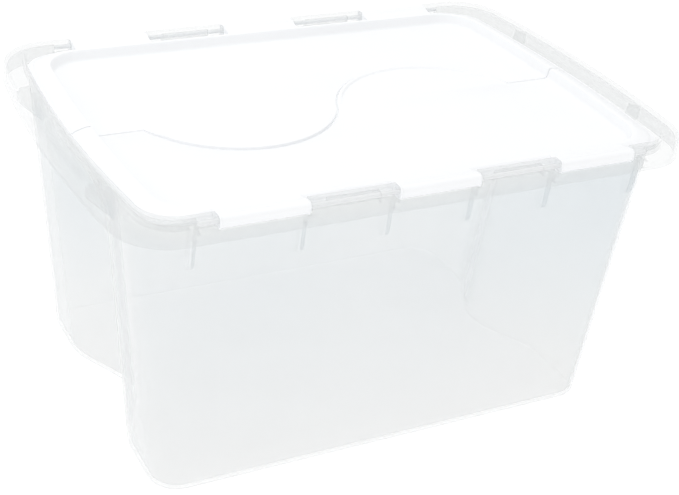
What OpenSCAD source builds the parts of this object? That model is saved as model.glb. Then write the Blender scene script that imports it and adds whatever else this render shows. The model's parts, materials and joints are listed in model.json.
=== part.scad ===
// Clear stacking tote with a split lid. The two lid leaves hinge on rods along the
// long sides, meet at an S-shaped seam, and form a sunken panel that locates the next tote.
// Frame: millimetres, +X along the length, +Y to the rear, +Z up, origin at the centre of
// the underside.

/* [Overall size] */
// Length over the end flanges
total_l = 564; // [540:2:620]
// Width over the skirt
total_w = 376; // [368:2:420]
// Height to the top of the rim
total_h = 290; // [282:1:340]

/* [Tub] */
// Length of the flat bottom
bottom_l = 458; // [420:2:460]
// Width of the flat bottom
bottom_w = 314; // [290:2:316]
// Wall thickness of the tub
wall_t = 2.5; // [2:0.1:3]
// Floor thickness
floor_t = 3; // [2:0.5:4]
// Depth of the hollow in each end wall
dent_depth = 31; // [10:1:36]
// Half the width of the hollow in each end wall
dent_half_w = 88; // [60:1:100]

/* [Rim] */
// Height of the hanging skirt
skirt_h = 22; // [18:1:28]
// Outward bow of the ends
end_bow = 8; // [2:1:10]
// Corner radius of the rim in plan
rim_corner_r = 48; // [40:1:60]

/* [Hinges] */
// Half the spacing between neighbouring hinge joints
tab_half = 39.7; // [34:0.1:42]
// Length of one rim knuckle
knuckle_len = 16; // [12:1:18]
// Radius of the rim knuckles
knuckle_r = 6.5; // [6.3:0.1:7]
// Diameter of the hinge rods
rod_d = 4; // [3:0.5:5]

/* [Lid] */
// Drop of the sunken panel below the rim
panel_drop = 14; // [12:1:16]
// Drop of the crest of the lid's border below the rim
crest_drop = 4; // [3:0.5:5]
// Drop of the lid's outer edge below the rim
edge_drop = 9; // [8:0.5:9]
// Thickness of the lid mouldings
lid_t = 2.5; // [2:0.1:3]
// Depth of each seam lobe
lobe_depth = 64; // [40:1:70]
// Gap between the two leaves
seam_gap = 1.6; // [1.2:0.1:3]

/* [Hidden] */
$fn = 48;

half_l = total_l / 2;
half_w = total_w / 2;

// Heights
skirt_bottom = total_h - skirt_h;
lid_edge = total_h - edge_drop;
lid_crest = total_h - crest_drop;
ledge_z = lid_edge - lid_t - 0.3;
axis_z = total_h - knuckle_r;
notch_z = axis_z - 6;

// The skirt's face lies just inside the lip along its lower edge
lip = 1;
face_l = half_l - lip;
face_w = half_w - lip;
axis_y = face_w - knuckle_r;

// Tub wall just under the rim
top_l = face_l - 26;
top_w = face_w - 18.5;
ledge_l = face_l - 22;
ledge_w = face_w - 14;

// Hinge running clearances
barrel_r = 6;
rod_run = 0.08;
rod_seat = 0.05;
side_gap = 0.8;
swing_gap = 1;
notch_out = 4;
notch_in = axis_y - ledge_w + 0.5;
rod_len = 2 * (5 * tab_half + knuckle_len) - 2;

// Lid plan
lid_l = ledge_l - 1;
lid_w = ledge_w - 1.2;
lid_corner_r = 32;
panel_l = bottom_l / 2 + 7;
panel_w = bottom_w / 2 + 3;
panel_corner_r = 34;
panel_bow = 5;
crest_out = 4.5;
panel_top = total_h - panel_drop;
lobe_chord = 190;
lobe_r = (pow(lobe_chord / 2, 2) + lobe_depth * lobe_depth) / (2 * lobe_depth);
lobe_centre = [lobe_chord / 2, lobe_depth - lobe_r];
lobe_lip_w = 4;
lobe_lip_h = 1.8;

// Points on one corner and on one end of an outline
corner_n = 6;
end_n = 12;

// Half width of the tub wall's outside at height z, and the dent's depth there
function mix(a, b, t) = a + (b - a) * min(1, max(0, t));
function wave(t) = pow(cos(90 * min(1, max(0, t))), 2);
dent_fade_z = 218;
dent_end_z = 268;
function dent_at(z) = dent_depth * wave((z - dent_fade_z) / (dent_end_z - dent_fade_z));

// Closed outline: half length, half width, corner radius, bow of the ends, dent of the ends
function end_x(hx, hy, r, bow, dent, y) =
    hx - bow * pow(y / (hy - r), 2) - dent * wave(abs(y) / dent_half_w);
function half_outline(hx, hy, r, bow, dent) = concat(
    [for (i = [0 : end_n - 1]) let (y = (hy - r) * (2 * i / end_n - 1))
        [end_x(hx, hy, r, bow, dent, y), y]],
    [for (i = [0 : corner_n]) let (a = 90 * i / corner_n)
        [hx - bow - r + r * cos(a), hy - r + r * sin(a)]],
    [for (i = [0 : corner_n - 1]) let (a = 90 + 90 * i / corner_n)
        [-(hx - bow - r) + r * cos(a), hy - r + r * sin(a)]]);
function outline(hx, hy, r, bow = 0, dent = 0) =
    let (half = half_outline(hx, hy, r, bow, dent)) concat(half, [for (p = half) [-p.x, -p.y]]);

// A skin through equal rings of points, closed by a flat cap at each end
module skin(rings) {
    n = len(rings[0]);
    m = len(rings);
    polyhedron(
        points = [for (ring = rings) each ring],
        faces = concat(
            [[for (i = [0 : n - 1]) i]],
            [for (k = [0 : m - 2]) for (i = [0 : n - 1]) let (j = (i + 1) % n)
                each [[k * n + i, (k + 1) * n + i, (k + 1) * n + j],
                      [k * n + i, (k + 1) * n + j, k * n + j]]],
            [[for (i = [0 : n - 1]) (m - 1) * n + n - 1 - i]]));
}
function ring(z, hx, hy, r, bow, dent = 0) = [for (p = outline(hx, hy, r, bow, dent)) [p.x, p.y, z]];

// Ring of the tub wall at height z, moved inwards by inset
bottom_r = 28;
top_r = 44;
edge_z = 4;
function wall_ring(z, inset = 0) = let (t = (z - edge_z) / (ledge_z - edge_z))
    ring(z, mix(bottom_l / 2, top_l, t) - inset, mix(bottom_w / 2, top_w, t) - inset,
         mix(bottom_r, top_r, t) - inset, mix(0, 1, t), dent_at(z));
wall_levels = [edge_z, dent_fade_z, 230, 243, 256, dent_end_z, ledge_z - wall_t];

// Skirt and flange rings, given as an inset from the skirt's face
function rim_ring(z, in_x, in_y) =
    ring(z, face_l - in_x, face_w - in_y, rim_corner_r - (in_x + in_y) / 2, end_bow);

function outer_rings() = concat(
    [ring(0, bottom_l / 2 - 3, bottom_w / 2 - 3, bottom_r - 3, 0, dent_depth),
     ring(1, bottom_l / 2 - 1, bottom_w / 2 - 1, bottom_r - 1, 0, dent_depth)],
    [for (z = wall_levels) wall_ring(z)]);
function rim_rings() = [
    rim_ring(ledge_z - wall_t, 19.5, 11.5),
    rim_ring(total_h - wall_t, 18.5, 9.7),
    rim_ring(total_h - 4.5, 4.5, 4),
    rim_ring(total_h - 9, 2.7, 2.5),
    rim_ring(skirt_bottom, 2.5, 2.5),
    rim_ring(skirt_bottom, -lip, -lip),
    rim_ring(skirt_bottom + 1.5, -lip, -lip),
    rim_ring(skirt_bottom + 3, 0, 0),
    rim_ring(total_h - 5, 0.1, 0),
    rim_ring(total_h - 2, 1.2, 0.8),
    rim_ring(total_h - 0.5, 3, 2.4),
    rim_ring(total_h, 5.5, 4.5),
    rim_ring(total_h, 20, 11.2),
    rim_ring(total_h - 2, 21, 12.4),
    rim_ring(ledge_z, face_l - ledge_l, face_w - ledge_w)];
function inner_rings() = concat(
    [wall_ring(ledge_z, wall_t)],
    [for (i = [len(wall_levels) - 1 : -1 : 1]) wall_ring(wall_levels[i], wall_t)],
    [wall_ring(floor_t + 3, wall_t),
     ring(floor_t, bottom_l / 2 - wall_t - 3, bottom_w / 2 - wall_t - 3, bottom_r - 5, 0, dent_depth)]);

// Hinge pattern: the lid tabs are centred at these places, the rim knuckles stand beside them
tab_centres = [-4 * tab_half, 0, 4 * tab_half];
knuckle_centres = [for (c = tab_centres) for (s = [-1, 1]) c + s * (tab_half + knuckle_len / 2)];

module along_x(x, len, r) {
    translate([x - len / 2, 0, 0]) rotate([0, 90, 0]) cylinder(h = len, r = r);
}

// Everything on the front long side is drawn about the hinge axis, then copied to the rear
module at_front_axis() { translate([0, -axis_y, axis_z]) children(); }
module both_sides() { for (a = [0, 180]) rotate([0, 0, a]) children(); }

module knuckles() {
    for (x = knuckle_centres) {
        along_x(x, knuckle_len, knuckle_r);
        translate([x - knuckle_len / 2, -knuckle_r, notch_z - axis_z])
            cube([knuckle_len, 2 * knuckle_r, axis_z - notch_z]);
    }
}

// Room for the lid's barrels in the rim
module tab_notches() {
    for (x = tab_centres) {
        w = 2 * tab_half;
        translate([x - tab_half, -knuckle_r - notch_out, notch_z - axis_z])
            cube([w, knuckle_r + notch_out + notch_in, total_h]);
        along_x(x, w, barrel_r + swing_gap);
    }
}

// Gusset under the flange of a long side
rib_t = 5;
rib_xs = [for (s = [-1, 1]) for (x = [tab_half, 3 * tab_half, 5 * tab_half + knuckle_len]) s * x];
module wall_rib(x) {
    y0 = top_w - 1;
    translate([x + rib_t / 2, 0, 0]) rotate([90, 0, -90]) linear_extrude(rib_t)
        polygon([[y0, ledge_z - wall_t + 0.5], [face_w - 1, notch_z - 2], [face_w - 1, skirt_bottom + 1],
                 [y0 + 9, skirt_bottom], [y0 + 6, 243], [y0 - 3.5, 233]]);
}

// Gussets under the end flanges, beside the hand hollow
end_rib_y = 96;
module end_rib(y) {
    x0 = top_l - 1;
    translate([0, y + rib_t / 2, 0]) rotate([90, 0, 0]) linear_extrude(rib_t)
        polygon([[x0 - 1, ledge_z - 1], [face_l - 20, ledge_z - 1], [face_l - 18, total_h - 2],
                 [face_l - 7, total_h - 3.5], [face_l - 7, skirt_bottom + 4], [x0 - 2, 250]]);
}

module crate_body() color([0.93, 0.95, 0.96, 0.45]) {
    difference() {
        union() {
            skin(concat(outer_rings(), rim_rings(), inner_rings()));
            both_sides() {
                at_front_axis() knuckles();
                for (x = rib_xs) wall_rib(x);
                for (y = [-end_rib_y, end_rib_y]) end_rib(y);
            }
        }
        both_sides() at_front_axis() {
            tab_notches();
            along_x(0, rod_len + 10, rod_d / 2 + rod_seat);
        }
    }
}

// The front leaf's share of the lid in plan: the front half, plus its own lobe, less the other's
module front_share(z0, z1) {
    h = z1 - z0;
    difference() {
        union() {
            translate([-half_l, -half_w, z0]) cube([total_l, half_w - seam_gap / 2, h]);
            translate([lobe_centre.x, lobe_centre.y, z0])
                cylinder(h = h, r = lobe_r - seam_gap / 2, $fn = 120);
        }
        translate([-lobe_centre.x, -lobe_centre.y, z0 - 1])
            cylinder(h = h + 2, r = lobe_r + seam_gap / 2, $fn = 120);
    }
}

// Rings of the lid's outer edge and of its sunken panel, the panel's grown by grow
function lid_ring(z) = ring(z, lid_l, lid_w, lid_corner_r, end_bow);
function panel_ring(z, grow) =
    ring(z, panel_l + grow, panel_w + grow, panel_corner_r + grow, panel_bow);

// Whole lid before it is split at the seam: the border climbs from the rim's ledge to a crest,
// then steps down to the sunken panel
module lid_shell() {
    skin([
        panel_ring(panel_top - lid_t, 1),
        panel_ring(lid_crest - lid_t - 0.4, 3.5),
        lid_ring(lid_edge - lid_t),
        lid_ring(lid_edge),
        panel_ring(lid_crest, crest_out),
        panel_ring(lid_crest, 1.5),
        panel_ring(panel_top, -1)]);
}

// Raised edge along a leaf's own lobe
module lobe_lip() {
    difference() {
        translate([lobe_centre.x, lobe_centre.y, panel_top - 1])
            cylinder(h = lobe_lip_h + 1, r = lobe_r - seam_gap / 2, $fn = 120);
        translate([lobe_centre.x, lobe_centre.y, panel_top - 2])
            cylinder(h = lobe_lip_h + 3, r = lobe_r - seam_gap / 2 - lobe_lip_w, $fn = 120);
        translate([-half_l, -total_w, panel_top - 2]) cube([total_l, total_w, lobe_lip_h + 3]);
    }
}

// Three barrels round the rod, each with a web that joins it to the lid's border
module hinge_tabs() {
    edge = axis_y - lid_w;
    crest = axis_y - panel_w - crest_out;
    for (x = tab_centres) {
        w = 2 * (tab_half - side_gap);
        along_x(x, w, barrel_r);
        translate([x - w / 2, 0, -axis_z]) rotate([90, 0, 90]) linear_extrude(w)
            polygon([[0, lid_edge - lid_t], [edge + 1, lid_edge - lid_t], [crest + 0.5, lid_crest - 1],
                     [crest, lid_crest - 0.3], [4, axis_z + 5], [0, axis_z + 5.5]]);
    }
}

module lid_leaf() color("white") {
    difference() {
        union() {
            intersection() {
                lid_shell();
                front_share(panel_top - lid_t - 1, total_h);
            }
            lobe_lip();
            at_front_axis() hinge_tabs();
        }
        at_front_axis() along_x(0, total_l, rod_d / 2 + rod_run);
    }
}
module front_lid_leaf() { lid_leaf(); }
module rear_lid_leaf() { rotate([0, 0, 180]) lid_leaf(); }

module hinge_rod() color("ivory") { at_front_axis() along_x(0, rod_len, rod_d / 2); }
module front_hinge_rod() { hinge_rod(); }
module rear_hinge_rod() { rotate([0, 0, 180]) hinge_rod(); }

crate_body();
front_lid_leaf();
rear_lid_leaf();
front_hinge_rod();
rear_hinge_rod();
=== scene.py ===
"""Clear stacking tote with a white split lid: the looks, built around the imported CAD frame.

Shapes are worked out in millimetres, as in the CAD, and scaled to metres when a mesh is made.
"""

import json
import math

import bmesh
import bpy
from mathutils import Matrix, Vector


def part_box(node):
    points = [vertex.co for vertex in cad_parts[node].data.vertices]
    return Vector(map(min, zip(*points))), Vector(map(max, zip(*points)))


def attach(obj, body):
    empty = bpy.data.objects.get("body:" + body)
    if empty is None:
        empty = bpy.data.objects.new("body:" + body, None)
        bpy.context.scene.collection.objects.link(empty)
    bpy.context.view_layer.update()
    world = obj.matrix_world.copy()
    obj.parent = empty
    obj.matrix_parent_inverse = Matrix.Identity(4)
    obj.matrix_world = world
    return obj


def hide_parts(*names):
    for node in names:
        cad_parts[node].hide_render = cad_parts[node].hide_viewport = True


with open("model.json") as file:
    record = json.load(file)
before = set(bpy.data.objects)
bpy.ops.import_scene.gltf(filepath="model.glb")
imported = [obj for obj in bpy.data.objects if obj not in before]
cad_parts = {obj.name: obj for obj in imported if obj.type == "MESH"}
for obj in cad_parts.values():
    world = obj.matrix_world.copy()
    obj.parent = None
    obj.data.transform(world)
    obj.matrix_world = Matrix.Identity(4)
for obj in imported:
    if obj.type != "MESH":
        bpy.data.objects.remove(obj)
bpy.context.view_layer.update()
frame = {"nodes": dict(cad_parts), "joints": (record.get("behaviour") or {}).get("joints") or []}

MM = 0.001

# ---------------------------------------------------------------- sizes, in millimetres
HALF_L, HALF_W, TOTAL_H = (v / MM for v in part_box("crate_body")[1])
HINGE = Vector(next(j["pos_m"] for j in frame["joints"] if j["name"] == "front_lid_hinge")) / MM
AXIS_Y, AXIS_Z = -HINGE.y, HINGE.z
ROD_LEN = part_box("front_hinge_rod")[1].x * 2 / MM

LIP = 1.0
FACE_L, FACE_W = HALF_L - LIP, HALF_W - LIP
KNUCKLE_R = TOTAL_H - AXIS_Z
SKIRT_BOTTOM = TOTAL_H - 22
LID_T = 2.5
LID_EDGE = TOTAL_H - 9
LID_CREST = TOTAL_H - 4
LEDGE_Z = LID_EDGE - LID_T - 0.3
NOTCH_Z = AXIS_Z - 6
LEDGE_L, LEDGE_W = FACE_L - 22, FACE_W - 14

WALL_T = 2.5
FLOOR_T = 3.0
BOTTOM_L, BOTTOM_W, BOTTOM_R = 229.0, 157.0, 28.0
TOP_L, TOP_W, TOP_R = FACE_L - 26, FACE_W - 18.5, 44.0
EDGE_Z = 4.0
DENT_DEPTH, DENT_HALF_W = 31.0, 88.0
DENT_FADE_Z, DENT_END_Z = 218.0, 268.0
RIM_R, END_BOW = 48.0, 8.0

LID_L, LID_W, LID_R = LEDGE_L - 1, LEDGE_W - 1.2, 32.0
PANEL_L, PANEL_W, PANEL_R, PANEL_BOW = BOTTOM_L + 7, BOTTOM_W + 3, 34.0, 5.0
PANEL_TOP = TOTAL_H - 14
CREST_OUT = 4.5
SEAM_GAP = 1.6
LOBE_CHORD, LOBE_DEPTH = 190.0, 64.0
LOBE_R = ((LOBE_CHORD / 2) ** 2 + LOBE_DEPTH ** 2) / (2 * LOBE_DEPTH)
LOBE_X, LOBE_Y = LOBE_CHORD / 2, LOBE_DEPTH - LOBE_R

TAB_HALF = 39.7
KNUCKLE_LEN = 16.0
BARREL_R, ROD_HOLE_R = 6.1, 2.1
NOTCH_R, NOTCH_OUT = 7.0, 4.0
RIB_HALF_T, END_RIB_Y = 2.5, 96.0
TAB_CENTRES = [-4 * TAB_HALF, 0.0, 4 * TAB_HALF]
KNUCKLE_CENTRES = [c + s * (TAB_HALF + KNUCKLE_LEN / 2) for c in TAB_CENTRES for s in (-1, 1)]
RIB_XS = [s * x for s in (-1, 1) for x in (TAB_HALF, 3 * TAB_HALF, 5 * TAB_HALF + KNUCKLE_LEN)]


# ---------------------------------------------------------------- outlines and skins
def wave(t):
    """1 at t = 0, falling smoothly to 0 at t = 1."""
    return math.cos(math.pi / 2 * min(1.0, max(0.0, t))) ** 2


def mix(a, b, t):
    return a + (b - a) * min(1.0, max(0.0, t))


def outline(hx, hy, r, bow=0.0, dent=0.0, corner_n=14, end_n=44):
    """A closed outline: a rectangle with round corners, bowed ends and a dent in each end."""
    def end_x(y):
        return hx - bow * (y / (hy - r)) ** 2 - dent * wave(abs(y) / DENT_HALF_W)

    half = []
    for i in range(end_n):
        y = (hy - r) * (2 * i / end_n - 1)
        half.append((end_x(y), y))
    for i in range(corner_n + 1):
        a = math.pi / 2 * i / corner_n
        half.append((hx - bow - r + r * math.cos(a), hy - r + r * math.sin(a)))
    for i in range(corner_n):
        a = math.pi / 2 * (1 + i / corner_n)
        half.append((-(hx - bow - r) + r * math.cos(a), hy - r + r * math.sin(a)))
    return half + [(-x, -y) for x, y in half]


def rounded_path(keys, n=4):
    """Rounds the corners of a path. Each key is (fillet, values...), with z, x and y first."""
    out = []
    for i, (fillet, *values) in enumerate(keys):
        here = Vector(values)
        if fillet <= 0 or i in (0, len(keys) - 1):
            out.append(here)
            continue
        before, after = Vector(keys[i - 1][1:]), Vector(keys[i + 1][1:])
        len_in = (Vector(before[:3]) - Vector(here[:3])).length
        len_out = (Vector(after[:3]) - Vector(here[:3])).length
        start = here.lerp(before, min(0.45, fillet / len_in))
        end = here.lerp(after, min(0.45, fillet / len_out))
        for k in range(n + 1):
            t = k / n
            out.append(start.lerp(here, t).lerp(here.lerp(end, t), t))
    return out


def new_object(name, bm, smooth_angle=35):
    """Makes an object of a bmesh in millimetres, shaded smooth except at sharp corners."""
    bmesh.ops.remove_doubles(bm, verts=bm.verts, dist=1e-4)
    bmesh.ops.recalc_face_normals(bm, faces=bm.faces)
    mesh = bpy.data.meshes.new(name)
    bm.to_mesh(mesh)
    bm.free()
    mesh.transform(Matrix.Scale(MM, 4))
    obj = bpy.data.objects.new(name, mesh)
    bpy.context.scene.collection.objects.link(obj)
    shade(obj, smooth_angle)
    return obj


def shade(obj, smooth_angle=35):
    for polygon in obj.data.polygons:
        polygon.use_smooth = True
    obj.data.set_sharp_from_angle(angle=math.radians(smooth_angle))


def skin(keys, n=4):
    """A closed solid through the outlines named by keys: (fillet, z, hx, hy, r, bow, dent)."""
    bm = bmesh.new()
    rings = []
    for z, hx, hy, r, bow, dent in rounded_path(keys, n):
        rings.append([bm.verts.new((x, y, z)) for x, y in outline(hx, hy, r, bow, dent)])
    count = len(rings[0])
    for lower, upper in zip(rings, rings[1:]):
        for i in range(count):
            j = (i + 1) % count
            bm.faces.new((lower[i], lower[j], upper[j], upper[i]))
    bm.faces.new(list(reversed(rings[0])))
    bm.faces.new(rings[-1])
    return bm


def prism_z(points, z0, z1):
    """A closed solid: an outline in plan, drawn up from z0 to z1."""
    bm = bmesh.new()
    low = [bm.verts.new((x, y, z0)) for x, y in points]
    high = [bm.verts.new((x, y, z1)) for x, y in points]
    for i in range(len(points)):
        j = (i + 1) % len(points)
        bm.faces.new((low[i], low[j], high[j], high[i]))
    bm.faces.new(list(reversed(low)))
    bm.faces.new(high)
    return bm


def prism_x(points, x0, x1, round_end=0.0):
    """A closed solid: an outline in (y, z), drawn along X, with its end edges rounded."""
    cy = sum(p[0] for p in points) / len(points)
    cz = sum(p[1] for p in points) / len(points)
    size = max(math.hypot(y - cy, z - cz) for y, z in points)
    stations = [(x0, 1.0), (x1, 1.0)]
    if round_end:
        steps = [math.pi / 2 * k / 3 for k in range(4)]
        inset = [(round_end * (1 - math.sin(a)), 1 - round_end / size * (1 - math.cos(a)))
                 for a in reversed(steps)]
        stations = [(x0 + d, k) for d, k in reversed(inset)] + [(x1 - d, k) for d, k in inset]
    bm = bmesh.new()
    rings = [[bm.verts.new((x, cy + (y - cy) * k, cz + (z - cz) * k)) for y, z in points]
             for x, k in stations]
    count = len(points)
    for a, b in zip(rings, rings[1:]):
        for i in range(count):
            j = (i + 1) % count
            bm.faces.new((a[i], a[j], b[j], b[i]))
    bm.faces.new(list(reversed(rings[0])))
    bm.faces.new(rings[-1])
    return bm


def merged(parts):
    """Several bmeshes as one."""
    whole = bmesh.new()
    for bm in parts:
        mesh = bpy.data.meshes.new("part")
        bm.to_mesh(mesh)
        bm.free()
        whole.from_mesh(mesh)
        bpy.data.meshes.remove(mesh)
    return whole


def turned(bm):
    """A copy of a bmesh turned half round about Z, as the rear side is of the front."""
    other = bm.copy()
    bmesh.ops.rotate(other, cent=(0, 0, 0), matrix=Matrix.Rotation(math.pi, 3, "Z"), verts=other.verts)
    return other


def boolean(obj, bm, operation):
    """Cuts, joins or keeps obj with a bmesh, and applies it to the mesh."""
    tool = new_object("tool", bm)
    modifier = obj.modifiers.new("boolean", "BOOLEAN")
    modifier.operation = operation
    modifier.solver = "EXACT"
    modifier.use_self = operation == "UNION"
    modifier.object = tool
    apply_modifiers(obj)
    bpy.data.objects.remove(tool)


def bevel(obj, width, segments=2, angle=40):
    modifier = obj.modifiers.new("bevel", "BEVEL")
    modifier.width = width * MM
    modifier.segments = segments
    modifier.limit_method = "ANGLE"
    modifier.angle_limit = math.radians(angle)
    modifier.miter_outer = "MITER_ARC"
    apply_modifiers(obj)


def apply_modifiers(obj):
    depsgraph = bpy.context.evaluated_depsgraph_get()
    mesh = bpy.data.meshes.new_from_object(obj.evaluated_get(depsgraph))
    old = obj.data
    obj.modifiers.clear()
    obj.data = mesh
    bpy.data.meshes.remove(old)


# ---------------------------------------------------------------- crate body
def wall_key(z, inset=0.0, fillet=0.0):
    """A key of the tub's wall at height z, moved inwards by inset."""
    t = (z - EDGE_Z) / (LEDGE_Z - EDGE_Z)
    dent = DENT_DEPTH * wave((z - DENT_FADE_Z) / (DENT_END_Z - DENT_FADE_Z))
    return (fillet, z, mix(BOTTOM_L, TOP_L, t) - inset, mix(BOTTOM_W, TOP_W, t) - inset,
            mix(BOTTOM_R, TOP_R, t) - inset, mix(0, 1, t), dent)


def rim_key(z, in_x, in_y, fillet=0.0):
    """A key of the rim, given by its distance inside the skirt's face."""
    return (fillet, z, FACE_L - in_x, FACE_W - in_y, RIM_R - (in_x + in_y) / 2, END_BOW, 0.0)


WALL_LEVELS = [EDGE_Z + 3, 60, 120, 170] + [DENT_FADE_Z - 4 + 3 * i for i in range(19)]


def body_keys():
    """The closed path round the tub's section: up the outside, round the rim, down the inside."""
    outer = [(0, 0, BOTTOM_L - 7, BOTTOM_W - 7, BOTTOM_R - 7, 0, DENT_DEPTH),
             (5, 0, BOTTOM_L - 0.3, BOTTOM_W - 0.3, BOTTOM_R - 0.3, 0, DENT_DEPTH)]
    outer += [wall_key(z) for z in WALL_LEVELS]
    rim = [
        (2, *wall_key(LEDGE_Z - WALL_T)[1:]),
        rim_key(LEDGE_Z - WALL_T, 19.5, 11.5, 0.5),
        rim_key(TOTAL_H - WALL_T, 18.5, 9.7, 1),
        rim_key(TOTAL_H - 4.5, 4.5, 4, 2),
        rim_key(TOTAL_H - 9, 2.7, 2.5, 2),
        rim_key(SKIRT_BOTTOM, 2.2, 2.2, 0.8),
        rim_key(SKIRT_BOTTOM, -LIP, -LIP, 0.8),
        rim_key(SKIRT_BOTTOM + 1.8, -LIP, -LIP, 0.7),
        rim_key(SKIRT_BOTTOM + 3, 0, 0, 0.8),
        rim_key(TOTAL_H - 5, 0.1, 0, 1.5),
        rim_key(TOTAL_H - 1.6, 1.4, 1.0, 1.4),
        rim_key(TOTAL_H, 4.6, 3.6, 1.6),
        rim_key(TOTAL_H, 20, 11.2, 0.8),
        rim_key(TOTAL_H - 2, 21, 12.4, 0.8),
        rim_key(LEDGE_Z, FACE_L - LEDGE_L, FACE_W - LEDGE_W, 0.8),
        (1.5, *wall_key(LEDGE_Z, WALL_T)[1:])]
    inner = [wall_key(z, WALL_T) for z in reversed(WALL_LEVELS)]
    inset = WALL_T + 0.4
    floor = [(5, FLOOR_T, BOTTOM_L - inset, BOTTOM_W - inset, BOTTOM_R - inset, 0, DENT_DEPTH),
             (0, FLOOR_T, BOTTOM_L - 12, BOTTOM_W - 12, BOTTOM_R - 12, 0, DENT_DEPTH)]
    return outer + rim + inner + floor


def ring_points(cy, cz, r, n=48, power=2.0):
    """A circle in (y, z), or a squarer one where power is over 2."""
    points = []
    for i in range(n):
        a = 2 * math.pi * i / n
        c, s = math.cos(a), math.sin(a)
        points.append((cy + r * math.copysign(abs(c) ** (2 / power), c),
                       cz + r * math.copysign(abs(s) ** (2 / power), s)))
    return points


def knuckle_points():
    """A rim knuckle in (y, z): a round top on straight sides."""
    angles = [math.pi * i / 20 for i in range(21)]
    top = [(-AXIS_Y + KNUCKLE_R * math.cos(a), AXIS_Z + KNUCKLE_R * math.sin(a)) for a in angles]
    return top + [(-AXIS_Y - KNUCKLE_R, NOTCH_Z), (-AXIS_Y + KNUCKLE_R, NOTCH_Z)]


def wall_rib(x):
    """A gusset between the flange and the front wall."""
    y0 = TOP_W - 1
    shape = [(y0, LEDGE_Z - 2), (FACE_W - 1.2, NOTCH_Z - 2), (FACE_W - 1.2, SKIRT_BOTTOM + 1),
             (y0 + 9.5, SKIRT_BOTTOM - 0.5), (y0 + 7.5, SKIRT_BOTTOM - 4), (y0 + 6, 244),
             (y0 + 4.5, 238.5), (y0 - 3.5, 233)]
    return prism_x([(-y, z) for y, z in shape], x - RIB_HALF_T, x + RIB_HALF_T)


def end_rib(y):
    """A gusset under the right end flange."""
    x0 = TOP_L - 2
    shape = [(x0, LEDGE_Z - 1), (FACE_L - 20, LEDGE_Z - 1), (FACE_L - 18, TOTAL_H - 2),
             (FACE_L - 7, TOTAL_H - 3.5), (FACE_L - 7, SKIRT_BOTTOM + 4), (x0 - 1, 250)]
    bm = prism_x(shape, y - RIB_HALF_T, y + RIB_HALF_T)
    bmesh.ops.rotate(bm, cent=(0, 0, 0), matrix=Matrix.Rotation(-math.pi / 2, 3, "Z"), verts=bm.verts)
    bmesh.ops.scale(bm, vec=(1, -1, 1), verts=bm.verts)
    return bm


def notch(x):
    """Room for one lid tab: open at the front and top, with a hollow under the barrel."""
    front, back, top = -AXIS_Y - KNUCKLE_R - NOTCH_OUT, -LEDGE_W + 0.5, TOTAL_H + 9
    hollow = [(-AXIS_Y + NOTCH_R * math.sin(a), AXIS_Z - NOTCH_R * math.cos(a))
              for a in (math.radians(-31 + 6.2 * i) for i in range(11))]
    points = [(front, top), (front, NOTCH_Z)] + hollow + [(back, NOTCH_Z), (back, top)]
    return prism_x(points, x - TAB_HALF, x + TAB_HALF)


def both_sides(parts):
    """The parts drawn for the front, and the same turned to the rear, as one bmesh."""
    front = merged(parts)
    return merged([turned(front), front])


def crate_body():
    obj = new_object("crate_body_shell", skin(body_keys()))
    ribs = [wall_rib(x) for x in RIB_XS] + [end_rib(y) for y in (-END_RIB_Y, END_RIB_Y)]
    knuckles = [prism_x(knuckle_points(), x - KNUCKLE_LEN / 2, x + KNUCKLE_LEN / 2)
                for x in KNUCKLE_CENTRES]
    boolean(obj, both_sides(ribs + knuckles), "UNION")
    boolean(obj, both_sides([notch(x) for x in TAB_CENTRES]), "DIFFERENCE")
    rod_hole = prism_x(ring_points(-AXIS_Y, AXIS_Z, ROD_HOLE_R, 24), -ROD_LEN / 2 - 5, ROD_LEN / 2 + 5)
    boolean(obj, both_sides([rod_hole]), "DIFFERENCE")
    shade(obj, 30)
    return obj


# ---------------------------------------------------------------- lid leaves
def panel_key(z, grow, fillet=0.0):
    """A key of the lid's sunken panel, grown by grow."""
    return (fillet, z, PANEL_L + grow, PANEL_W + grow, PANEL_R + grow, PANEL_BOW, 0.0)


def border_key(z, t, inset=0.0, fillet=0.0):
    """The lid's border: t is 0 at its outer edge and 1 at its crest."""
    hx, hy, r = (mix(edge, panel + CREST_OUT, t) - inset
                 for edge, panel in ((LID_L, PANEL_L), (LID_W, PANEL_W), (LID_R, PANEL_R)))
    return (fillet, z, hx, hy, r, mix(END_BOW, PANEL_BOW, t), 0.0)


def lid_keys():
    """The closed path round the lid's section; its two ends are caps inside the panel."""
    under = LID_EDGE - LID_T
    return [
        panel_key(PANEL_TOP - LID_T, -20),
        panel_key(PANEL_TOP - LID_T, 1, 3),
        panel_key(LID_CREST - LID_T - 0.4, 3.5, 1.5),
        border_key(under, 0, 0.6, 0.5),
        border_key(under + 0.7, 0, 0, 0.5),
        border_key(LID_EDGE - 0.5, 0, 0, 0.4),
        border_key(LID_EDGE, 0, 0.6, 0.4),
        border_key(LID_EDGE + 0.3, 0.22, 0, 0.4),
        border_key(LID_EDGE + 1.8, 0.34, 0, 0.6),
        border_key(LID_CREST - 0.6, 0.8, 0, 1),
        border_key(LID_CREST, 0.97, 0, 0.8),
        panel_key(LID_CREST, 1.5, 1.2),
        panel_key(PANEL_TOP, -1.0, 3.0),
        panel_key(PANEL_TOP, -20)]


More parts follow.
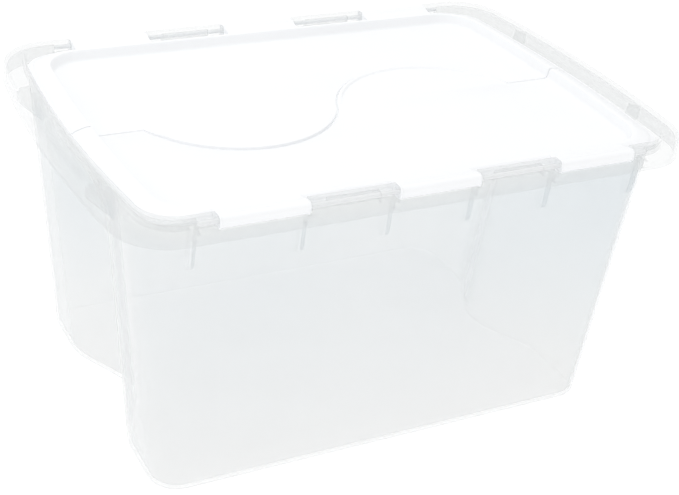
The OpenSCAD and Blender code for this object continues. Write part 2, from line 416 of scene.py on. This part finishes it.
def front_share_points():
    """The front leaf's share in plan: the front half, plus its own lobe, less the other leaf's."""
    own, other = LOBE_R - SEAM_GAP / 2, LOBE_R + SEAM_GAP / 2
    edge = -SEAM_GAP / 2

    def arc(cx, cy, r, a0, a1, n=72):
        return [(cx + r * math.cos(mix(a0, a1, i / n)), cy + r * math.sin(mix(a0, a1, i / n)))
                for i in range(n + 1)]

    touch = math.atan2(-LOBE_Y, -LOBE_X)
    left_start = math.pi + math.asin((-edge - LOBE_Y) / other)
    left = arc(-LOBE_X, -LOBE_Y, other, left_start, 2 * math.pi + math.atan2(LOBE_Y, LOBE_X))
    right = arc(LOBE_X, LOBE_Y, own, touch, math.asin((edge - LOBE_Y) / own))
    front = -HALF_W - 5
    return [(-HALF_L, edge)] + left + right + [(HALF_L, edge), (HALF_L, front), (-HALF_L, front)]


def lobe_lip():
    """The raised edge along the leaf's own lobe: a low band swept round the arc."""
    outer = LOBE_R - SEAM_GAP / 2
    section = [(-4.4, -1.0), (-4.4, 0.0), (-3.7, 1.1), (-2.8, 1.7),
               (-1.0, 1.8), (-0.25, 1.6), (0.0, 1.0), (0.0, -1.0)]
    start = math.asin((2.0 - LOBE_Y) / outer)
    n = 96
    bm = bmesh.new()
    rings = []
    for i in range(n + 1):
        a = mix(start, math.pi - start, i / n)
        rise = min(1.0, 12 * min(i, n - i) / n)
        c, s = math.cos(a), math.sin(a)
        rings.append([bm.verts.new((LOBE_X + (outer + d) * c, LOBE_Y + (outer + d) * s,
                                    PANEL_TOP + h * (rise if h > 0 else 1))) for d, h in section])
    count = len(section)
    for a, b in zip(rings, rings[1:]):
        for i in range(count):
            j = (i + 1) % count
            bm.faces.new((a[i], a[j], b[j], b[i]))
    bm.faces.new(list(reversed(rings[0])))
    bm.faces.new(rings[-1])
    return bm


def hinge_barrel(x):
    """A lid tab's squarish barrel round the rod."""
    half = TAB_HALF - 1.0
    return prism_x(ring_points(-AXIS_Y, AXIS_Z, BARREL_R, 56, 2.7), x - half, x + half, 0.7)


def hinge_web(x):
    """The web that joins a barrel to the lid's border, with a smooth top."""
    half = TAB_HALF - 1.5
    under = LID_EDGE - LID_T
    crest = -PANEL_W - CREST_OUT
    points = [(-AXIS_Y, under), (-LID_W + 1, under), (crest + 0.5, LID_CREST - 1),
              (crest, LID_CREST - 0.2), (crest - 5, LID_CREST + 0.3), (-AXIS_Y + 6, AXIS_Z + 4.3),
              (-AXIS_Y + 4, AXIS_Z + 5.2), (-AXIS_Y, AXIS_Z + 5.6)]
    return prism_x(points, x - half, x + half)


def lid_leaf(name, rear):
    obj = new_object(name, skin(lid_keys()))
    boolean(obj, prism_z(front_share_points(), PANEL_TOP - 26, TOTAL_H + 30), "INTERSECT")
    bevel(obj, 0.5, 3, 50)
    boolean(obj, lobe_lip(), "UNION")
    boolean(obj, merged([hinge_barrel(x) for x in TAB_CENTRES]), "UNION")
    boolean(obj, merged([hinge_web(x) for x in TAB_CENTRES]), "UNION")
    boolean(obj, prism_x(ring_points(-AXIS_Y, AXIS_Z, ROD_HOLE_R, 24), -HALF_L, HALF_L), "DIFFERENCE")
    if rear:
        obj.data.transform(Matrix.Rotation(math.pi, 4, "Z"))
    shade(obj, 30)
    return obj


# ---------------------------------------------------------------- materials
def node_material(name):
    material = bpy.data.materials.new(name)
    material.use_nodes = True
    nodes = material.node_tree.nodes
    nodes.clear()
    return material, nodes, material.node_tree.links


def noise(nodes, links, coords, scale, detail=3.0, roughness=0.5):
    texture = nodes.new("ShaderNodeTexNoise")
    texture.inputs["Scale"].default_value = scale
    texture.inputs["Detail"].default_value = detail
    texture.inputs["Roughness"].default_value = roughness
    links.new(coords, texture.inputs["Vector"])
    return texture.outputs["Fac"]


def ranged(nodes, links, value, low, high, from_low=0.0, from_high=1.0):
    node = nodes.new("ShaderNodeMapRange")
    node.inputs["From Min"].default_value = from_low
    node.inputs["From Max"].default_value = from_high
    node.inputs["To Min"].default_value = low
    node.inputs["To Max"].default_value = high
    links.new(value, node.inputs["Value"])
    return node.outputs["Result"]


def blended(nodes, links, factor, a, b):
    node = nodes.new("ShaderNodeMix")
    node.data_type = "RGBA"
    links.new(factor, node.inputs["Factor"])
    node.inputs["A"].default_value = (*a, 1)
    node.inputs["B"].default_value = (*b, 1)
    return node.outputs["Result"]


def calculated(nodes, links, operation, a, b):
    """One Math node; a and b are sockets or numbers."""
    node = nodes.new("ShaderNodeMath")
    node.operation = operation
    for value, socket in zip((a, b), node.inputs):
        if isinstance(value, (int, float)):
            socket.default_value = value
        else:
            links.new(value, socket)
    return node.outputs["Value"]


def bumped(nodes, links, height, distance, strength=0.3, after=None):
    node = nodes.new("ShaderNodeBump")
    node.inputs["Distance"].default_value = distance
    node.inputs["Strength"].default_value = strength
    links.new(height, node.inputs["Height"])
    if after is not None:
        links.new(after, node.inputs["Normal"])
    return node.outputs["Normal"]


def object_coords(nodes, links, scale=(1, 1, 1)):
    coords = nodes.new("ShaderNodeTexCoord").outputs["Object"]
    mapping = nodes.new("ShaderNodeMapping")
    mapping.inputs["Scale"].default_value = scale
    links.new(coords, mapping.inputs["Vector"])
    return mapping.outputs["Vector"]


def clear_plastic():
    """Clear polypropylene: see-through, faintly milky, denser where it is seen edge on."""
    material, nodes, links = node_material("clear_polypropylene")
    coords = object_coords(nodes, links)
    flow = object_coords(nodes, links, (1, 1, 0.35))
    ripple = noise(nodes, links, flow, 9, 2)
    grain = noise(nodes, links, coords, 900, 2)
    cloud = noise(nodes, links, coords, 14, 4)
    patches = noise(nodes, links, flow, 5, 2)
    ripples = bumped(nodes, links, ripple, 0.0012, 0.25)
    normal = bumped(nodes, links, grain, 0.00004, 0.12, ripples)

    facing = nodes.new("ShaderNodeLayerWeight")
    facing.inputs["Blend"].default_value = 0.5
    edge = facing.outputs["Facing"]
    grazing = calculated(nodes, links, "POWER", edge, 4)

    # Painted shade: the walls are tinted darker and bluer towards the top, in patches, for the lid's
    # shade on them, and the rim is left clear again
    height = nodes.new("ShaderNodeSeparateXYZ")
    links.new(coords, height.inputs["Vector"])
    above = height.outputs["Z"]
    climb = ranged(nodes, links, above, 0, 1, 0.01, 0.2)
    rim = ranged(nodes, links, above, 1, 0.15, 0.255, 0.27)
    cloudy = ranged(nodes, links, patches, 0.75, 1, 0.35, 0.65)
    painted_lid_shade = calculated(nodes, links, "MULTIPLY", calculated(nodes, links, "MULTIPLY", climb, rim), cloudy)
    # Painted lid shade: the clear tint turns darker and bluer where the height mask is strong
    tint_with_painted_shade = blended(nodes, links, painted_lid_shade, (0.957, 0.958, 0.956), (0.914, 0.929, 0.937))
    thick = nodes.new("ShaderNodeMix")
    thick.data_type = "RGBA"
    links.new(ranged(nodes, links, edge, 0, 1, 0.45, 1.0), thick.inputs["Factor"])
    links.new(tint_with_painted_shade, thick.inputs["A"])
    thick.inputs["B"].default_value = (0.935, 0.94, 0.943, 1)
    clear = nodes.new("ShaderNodeBsdfTransparent")
    links.new(thick.outputs["Result"], clear.inputs["Color"])

    milky = nodes.new("ShaderNodeBsdfPrincipled")
    links.new(blended(nodes, links, cloud, (0.85, 0.855, 0.856), (0.90, 0.903, 0.905)),
              milky.inputs["Base Color"])
    links.new(ranged(nodes, links, cloud, 0.22, 0.36), milky.inputs["Roughness"])
    links.new(normal, milky.inputs["Normal"])
    milky.inputs["IOR"].default_value = 1.49

    glow = nodes.new("ShaderNodeBsdfTranslucent")
    glow.inputs["Color"].default_value = (0.88, 0.885, 0.89, 1)
    links.new(normal, glow.inputs["Normal"])
    scatter = nodes.new("ShaderNodeMixShader")
    scatter.inputs["Fac"].default_value = 0.45
    links.new(milky.outputs["BSDF"], scatter.inputs[1])
    links.new(glow.outputs["BSDF"], scatter.inputs[2])

    haze = nodes.new("ShaderNodeMixShader")
    links.new(ranged(nodes, links, grazing, 0.10, 0.5), haze.inputs["Fac"])
    links.new(clear.outputs["BSDF"], haze.inputs[1])
    links.new(scatter.outputs["Shader"], haze.inputs[2])

    shine = nodes.new("ShaderNodeBsdfGlossy")
    shine.inputs["Color"].default_value = (1, 1, 1, 1)
    links.new(ranged(nodes, links, cloud, 0.08, 0.16), shine.inputs["Roughness"])
    links.new(ripples, shine.inputs["Normal"])
    # Gloss grows towards grazing angles, and only the outside of the plastic shines
    back = nodes.new("ShaderNodeNewGeometry").outputs["Backfacing"]
    outside = calculated(nodes, links, "SUBTRACT", 1, back)
    gloss = calculated(nodes, links, "MULTIPLY", ranged(nodes, links, grazing, 0.035, 0.4), outside)
    surface = nodes.new("ShaderNodeMixShader")
    links.new(gloss, surface.inputs["Fac"])
    links.new(haze.outputs["Shader"], surface.inputs[1])
    links.new(shine.outputs["BSDF"], surface.inputs[2])

    # Light passes thin clear plastic almost unhindered, so what is behind it isn't in shadow
    rays = nodes.new("ShaderNodeLightPath")
    shadow, diffuse = rays.outputs["Is Shadow Ray"], rays.outputs["Is Diffuse Ray"]
    passing = calculated(nodes, links, "MAXIMUM", shadow, diffuse)
    open_way = nodes.new("ShaderNodeBsdfTransparent")
    open_way.inputs["Color"].default_value = (0.975, 0.978, 0.98, 1)
    lit = nodes.new("ShaderNodeMixShader")
    links.new(passing, lit.inputs["Fac"])
    links.new(surface.outputs["Shader"], lit.inputs[1])
    links.new(open_way.outputs["BSDF"], lit.inputs[2])

    output = nodes.new("ShaderNodeOutputMaterial")
    links.new(lit.outputs["Shader"], output.inputs["Surface"])
    return material


def white_plastic():
    """Opaque white polypropylene: semi-gloss, with a fine moulded grain and faint flow marks."""
    material, nodes, links = node_material("white_polypropylene")
    coords = object_coords(nodes, links)
    cloud = noise(nodes, links, coords, 11, 4)
    grain = noise(nodes, links, coords, 1100, 3)
    flow = noise(nodes, links, object_coords(nodes, links, (1, 0.25, 1)), 16, 2)
    shader = nodes.new("ShaderNodeBsdfPrincipled")
    links.new(blended(nodes, links, cloud, (0.90, 0.91, 0.925), (0.93, 0.94, 0.95)),
              shader.inputs["Base Color"])
    links.new(ranged(nodes, links, cloud, 0.34, 0.46), shader.inputs["Roughness"])
    shader.inputs["IOR"].default_value = 1.49
    normal = bumped(nodes, links, flow, 0.0006, 0.15)
    normal = bumped(nodes, links, grain, 0.00006, 0.25, normal)
    links.new(normal, shader.inputs["Normal"])
    output = nodes.new("ShaderNodeOutputMaterial")
    links.new(shader.outputs["BSDF"], output.inputs["Surface"])
    return material


def rod_plastic():
    """Natural white acetal rod, with fine drawing marks along its length."""
    material, nodes, links = node_material("natural_acetal")
    streaks = noise(nodes, links, object_coords(nodes, links, (0.03, 1, 1)), 1800, 3)
    cloud = noise(nodes, links, object_coords(nodes, links), 60, 3)
    shader = nodes.new("ShaderNodeBsdfPrincipled")
    links.new(blended(nodes, links, cloud, (0.88, 0.89, 0.90), (0.93, 0.935, 0.94)),
              shader.inputs["Base Color"])
    links.new(ranged(nodes, links, streaks, 0.3, 0.5), shader.inputs["Roughness"])
    links.new(bumped(nodes, links, streaks, 0.00005, 0.3), shader.inputs["Normal"])
    output = nodes.new("ShaderNodeOutputMaterial")
    links.new(shader.outputs["BSDF"], output.inputs["Surface"])
    return material


def dress(obj, material):
    obj.data.materials.clear()
    obj.data.materials.append(material)


# ---------------------------------------------------------------- stage
def studio():
    scene = bpy.context.scene
    scene.view_settings.view_transform = "Standard"
    scene.cycles.transparent_max_bounces = 48
    world = bpy.data.worlds.new("studio")
    world.use_nodes = True
    world.node_tree.nodes["Background"].inputs["Color"].default_value = (1, 1, 1, 1)
    world.node_tree.nodes["Background"].inputs["Strength"].default_value = 0.92
    scene.world = world

    bm = bmesh.new()
    bmesh.ops.create_grid(bm, x_segments=1, y_segments=1, size=6000)
    floor = new_object("floor", bm)
    material, nodes, links = node_material("floor_white")
    shader = nodes.new("ShaderNodeBsdfPrincipled")
    shader.inputs["Base Color"].default_value = (0.34, 0.34, 0.34, 1)
    shader.inputs["Roughness"].default_value = 0.7
    shader.inputs["Emission Color"].default_value = (1, 1, 1, 1)
    shader.inputs["Emission Strength"].default_value = 0.72
    output = nodes.new("ShaderNodeOutputMaterial")
    links.new(shader.outputs["BSDF"], output.inputs["Surface"])
    dress(floor, material)

    def softbox(name, place, size, power):
        light = bpy.data.lights.new(name, "AREA")
        light.shape = "RECTANGLE"
        light.size, light.size_y = size
        light.energy = power
        obj = bpy.data.objects.new(name, light)
        obj.location = place
        obj.rotation_euler = (Vector((0, 0, 0.15)) - obj.location).to_track_quat("-Z", "Y").to_euler()
        scene.collection.objects.link(obj)

    softbox("overhead", (-0.3, 0.3, 2.2), (1.8, 1.4), 8)
    softbox("side", (-1.9, -0.7, 1.0), (1.2, 1.2), 3)


def camera():
    """A camera at the eye's place: yaw from +Y, pitch down, and a slight roll."""
    yaw, pitch, roll = (math.radians(a) for a in (28.5, 31.2, 5.25))
    ahead = math.cos(pitch)
    forward = Vector((math.sin(yaw) * ahead, math.cos(yaw) * ahead, -math.sin(pitch)))
    level = Vector((math.cos(yaw), -math.sin(yaw), 0))
    upright = level.cross(forward)
    right = math.cos(roll) * level + math.sin(roll) * upright
    up = -math.sin(roll) * level + math.cos(roll) * upright
    data = bpy.data.cameras.new("camera")
    data.sensor_width = 36
    data.lens = 71.85
    data.shift_x = 0.0705
    data.shift_y = 0.041
    obj = bpy.data.objects.new("camera", data)
    matrix = Matrix((right, up, -forward)).transposed().to_4x4()
    matrix.translation = (-0.5753, -1.0018, 0.7875)
    obj.matrix_world = matrix
    bpy.context.scene.collection.objects.link(obj)
    bpy.context.scene.camera = obj


# ---------------------------------------------------------------- build
studio()
camera()

clear, white, natural = clear_plastic(), white_plastic(), rod_plastic()

body = crate_body()
dress(body, clear)
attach(body, "crate")
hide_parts("crate_body")

for leaf_name, bodyname, node, is_rear in (
        ("front_leaf_moulding", "front_leaf", "front_lid_leaf", False),
        ("rear_leaf_moulding", "rear_leaf", "rear_lid_leaf", True)):
    leaf = lid_leaf(leaf_name, is_rear)
    dress(leaf, white)
    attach(leaf, bodyname)
    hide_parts(node)

for node in ("front_hinge_rod", "rear_hinge_rod"):
    dress(frame["nodes"][node], natural)
